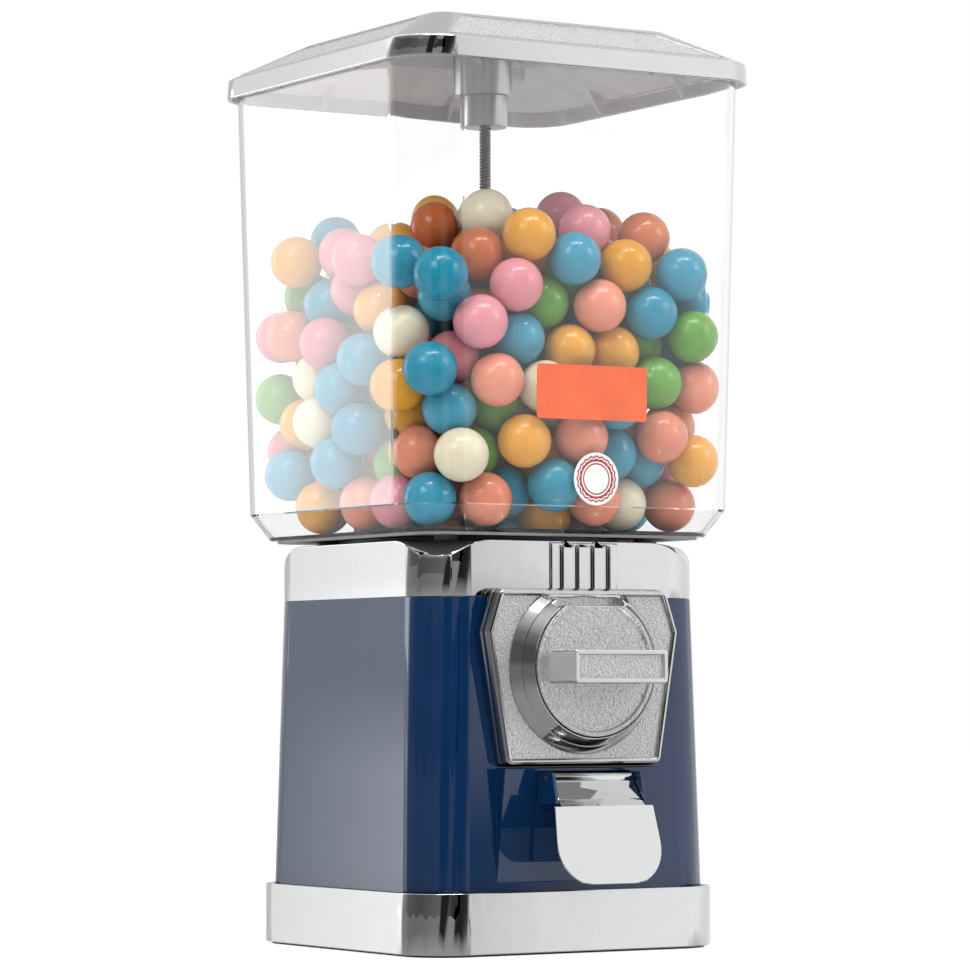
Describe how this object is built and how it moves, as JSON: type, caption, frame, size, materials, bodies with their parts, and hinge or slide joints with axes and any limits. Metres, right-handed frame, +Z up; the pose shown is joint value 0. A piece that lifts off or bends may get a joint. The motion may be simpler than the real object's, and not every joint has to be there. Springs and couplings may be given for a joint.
{
  "type": "gumball machine",
  "caption": "Coin-operated gumball machine with a square clear globe on a blue body, a turning knob, a dispensing wheel, a flap door and a lift-off locking lid.",
  "frame": {"origin": "middle of the footprint, on the surface the machine stands on", "axes": "+Z up along the centre rod, front towards -Y, +X to the right seen from the front"},
  "size_m": [0.193, 0.2141, 0.43],
  "materials": {
    "chrome": "polished chrome plate",
    "blue_paint": "glossy navy paint",
    "cast_zinc": "pebbled cast chrome",
    "steel": "plain steel",
    "clear": "clear moulded plastic",
    "white_plastic": "moulded plastic",
    "rubber": "black rubber",
    "brass": "machined brass",
    "gum_blue": "glazed sugar shell",
    "gum_pink": "glazed sugar shell",
    "gum_salmon": "glazed sugar shell",
    "gum_orange": "glazed sugar shell",
    "gum_yellow": "glazed sugar shell",
    "gum_green": "glazed sugar shell",
    "gum_cream": "glazed sugar shell"
  },
  "bodies": {
    "cabinet": {"base_sole": "rubber", "base_tray": "chrome", "body_shell": "blue_paint", "collar": "chrome", "dispenser_pan": "white_plastic", "hopper_ring": "white_plastic", "ball_guard": "steel", "globe": "clear", "globe_gasket": "rubber", "globe_pads": "rubber", "center_rod": "steel", "rod_nuts": "steel", "coin_faceplate": "cast_zinc", "pawl_pin": "steel", "mech_back_plate": "steel", "mech_posts": "steel", "mech_nuts": "steel", "spout": "blue_paint", "hinge_pin": "steel", "chute": "steel", "gumballs_blue": "gum_blue", "gumballs_pink": "gum_pink", "gumballs_salmon": "gum_salmon", "gumballs_orange": "gum_orange", "gumballs_yellow": "gum_yellow", "gumballs_green": "gum_green", "gumballs_cream": "gum_cream"},
    "knob": {"coin_knob": "cast_zinc", "coin_carrier": "steel", "knob_shaft": "steel", "ratchet_wheel": "steel", "drive_pinion": "brass", "shaft_clip": "steel"},
    "wheel": {"gumball_wheel": "white_plastic", "wheel_gumballs": "gum_yellow"},
    "door": {"chute_door": "chrome"},
    "lid": {"lid": "chrome", "lock_barrel": "chrome"},
    "lock": {"lock_plug": "brass"},
    "pawl": {"pawl": "steel"}
  },
  "joints": [
    {"name": "knob_turn", "type": "hinge", "parent": "cabinet", "child": "knob", "pos_m": [0, -0.09, 0.1304], "axis": [0, 1, 0], "continuous": true},
    {"name": "wheel_turn", "type": "hinge", "parent": "cabinet", "child": "wheel", "pos_m": [0, 0, 0.15], "axis": [0, 0, 1], "continuous": true},
    {"name": "door_swing", "type": "hinge", "parent": "cabinet", "child": "door", "pos_m": [0, -0.0905, 0.0795], "axis": [-1, 0, 0], "range_deg": [0, 55]},
    {"name": "lid_lift", "type": "slide", "parent": "cabinet", "child": "lid", "axis": [0, 0, 1], "range_m": [0, 0.08]},
    {"name": "lock_turn", "type": "hinge", "parent": "lid", "child": "lock", "pos_m": [0, 0, 0.42], "axis": [0, 0, 1], "range_deg": [0, 90]},
    {"name": "pawl_lift", "type": "hinge", "parent": "cabinet", "child": "pawl", "pos_m": [0.024, -0.074, 0.1454], "axis": [0, 1, 0], "range_deg": [0, 12]}
  ],
  "couplings": [
    {"joint": "wheel_turn", "follows": "knob_turn", "ratio": 0.16667}
  ]
}
